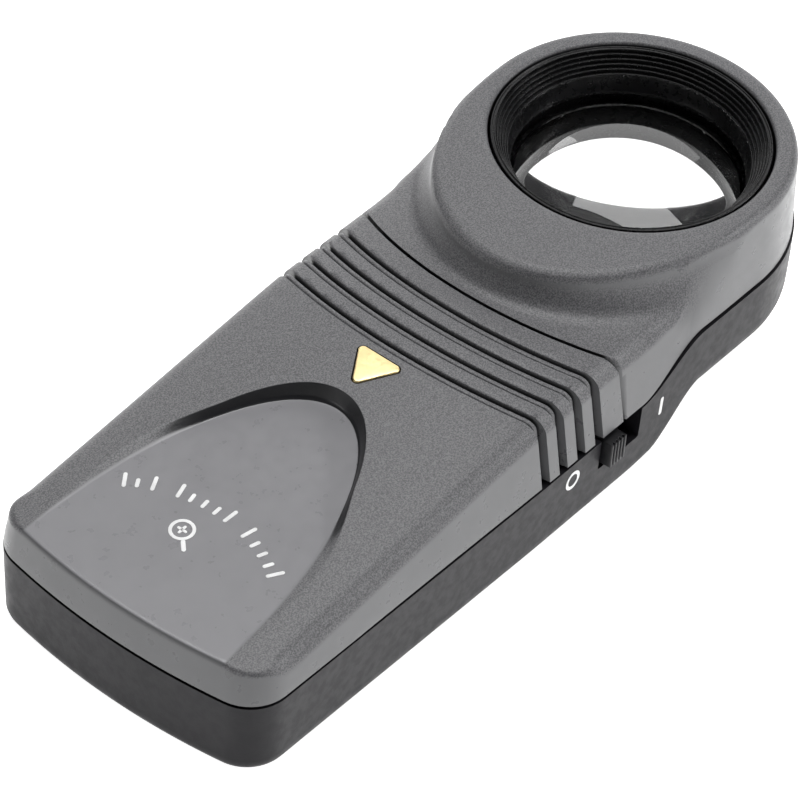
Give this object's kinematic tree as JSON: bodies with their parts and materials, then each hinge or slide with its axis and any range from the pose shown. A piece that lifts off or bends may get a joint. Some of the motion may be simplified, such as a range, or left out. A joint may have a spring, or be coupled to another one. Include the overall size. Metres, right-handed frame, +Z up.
{
  "type": "illuminated pocket loupe",
  "caption": "Pocket loupe with a raised round lens head on a flat handle, a sliding battery cover, a slide switch and a built-in lamp.",
  "frame": {"origin": "on the flat underside of the handle, on its centre line, 48 mm from the lens axis", "axes": "+X along the handle to the lens head, +Y across it away from the switch, +Z up out of the eye side"},
  "size_m": [0.098, 0.037, 0.0228],
  "materials": {
    "grey_plastic": "finely textured grey moulding, smooth and glossier on its rounded edges",
    "dark_plastic": "dark charcoal satin moulding with a fine spark-erosion grain",
    "black_plastic": "black satin moulding",
    "white_plastic": "plain white moulding",
    "gold_trim": "polished gold-coloured trim",
    "lens_glass": "clear polished lens glass with a faint coating",
    "lamp_epoxy": "clear cast epoxy",
    "spring_steel": "nickel-plated spring steel",
    "screw_steel": "zinc-plated steel",
    "tin": "tinned metal",
    "cell_sleeve": "glossy printed shrink sleeve, plain green with a pale band",
    "board": "green lacquered circuit board",
    "resistor_body": "lacquered resistor body with coloured bands",
    "red_wire": "red wire insulation",
    "black_wire": "black wire insulation"
  },
  "bodies": {
    "housing": {"lower_housing": "dark_plastic", "head_cover": "grey_plastic", "lens_barrel": "black_plastic", "upper_lens": "lens_glass", "lens_spacer": "black_plastic", "lower_lens": "lens_glass", "lens_retaining_ring": "black_plastic", "lamp": "lamp_epoxy", "lamp_lead_positive": "tin", "lamp_lead_negative": "tin", "lamp_holder": "white_plastic", "circuit_board": "board", "resistor": "resistor_body", "switch_body": "black_plastic", "switch_terminal_a": "tin", "switch_terminal_b": "tin", "switch_terminal_c": "tin", "battery_left": "cell_sleeve", "battery_left_terminal": "tin", "battery_right": "cell_sleeve", "battery_right_terminal": "tin", "positive_contact": "spring_steel", "negative_contact": "spring_steel", "bridge_contact": "spring_steel", "negative_spring": "spring_steel", "bridge_spring": "spring_steel", "housing_screw_left": "screw_steel", "housing_screw_right": "screw_steel", "wire_positive": "red_wire", "wire_negative": "black_wire", "wire_switch": "black_wire"},
    "cover": {"battery_cover": "grey_plastic", "arrow_insert": "gold_trim"},
    "switch_slider": {"switch_knob": "black_plastic", "switch_stem": "black_plastic"}
  },
  "joints": [
    {"name": "cover_slide", "type": "slide", "parent": "housing", "child": "cover", "axis": [-1, 0, 0], "range_m": [0, 0.045]},
    {"name": "switch_slide", "type": "slide", "parent": "housing", "child": "switch_slider", "axis": [1, 0, 0], "range_m": [0, 0.0024]}
  ]
}
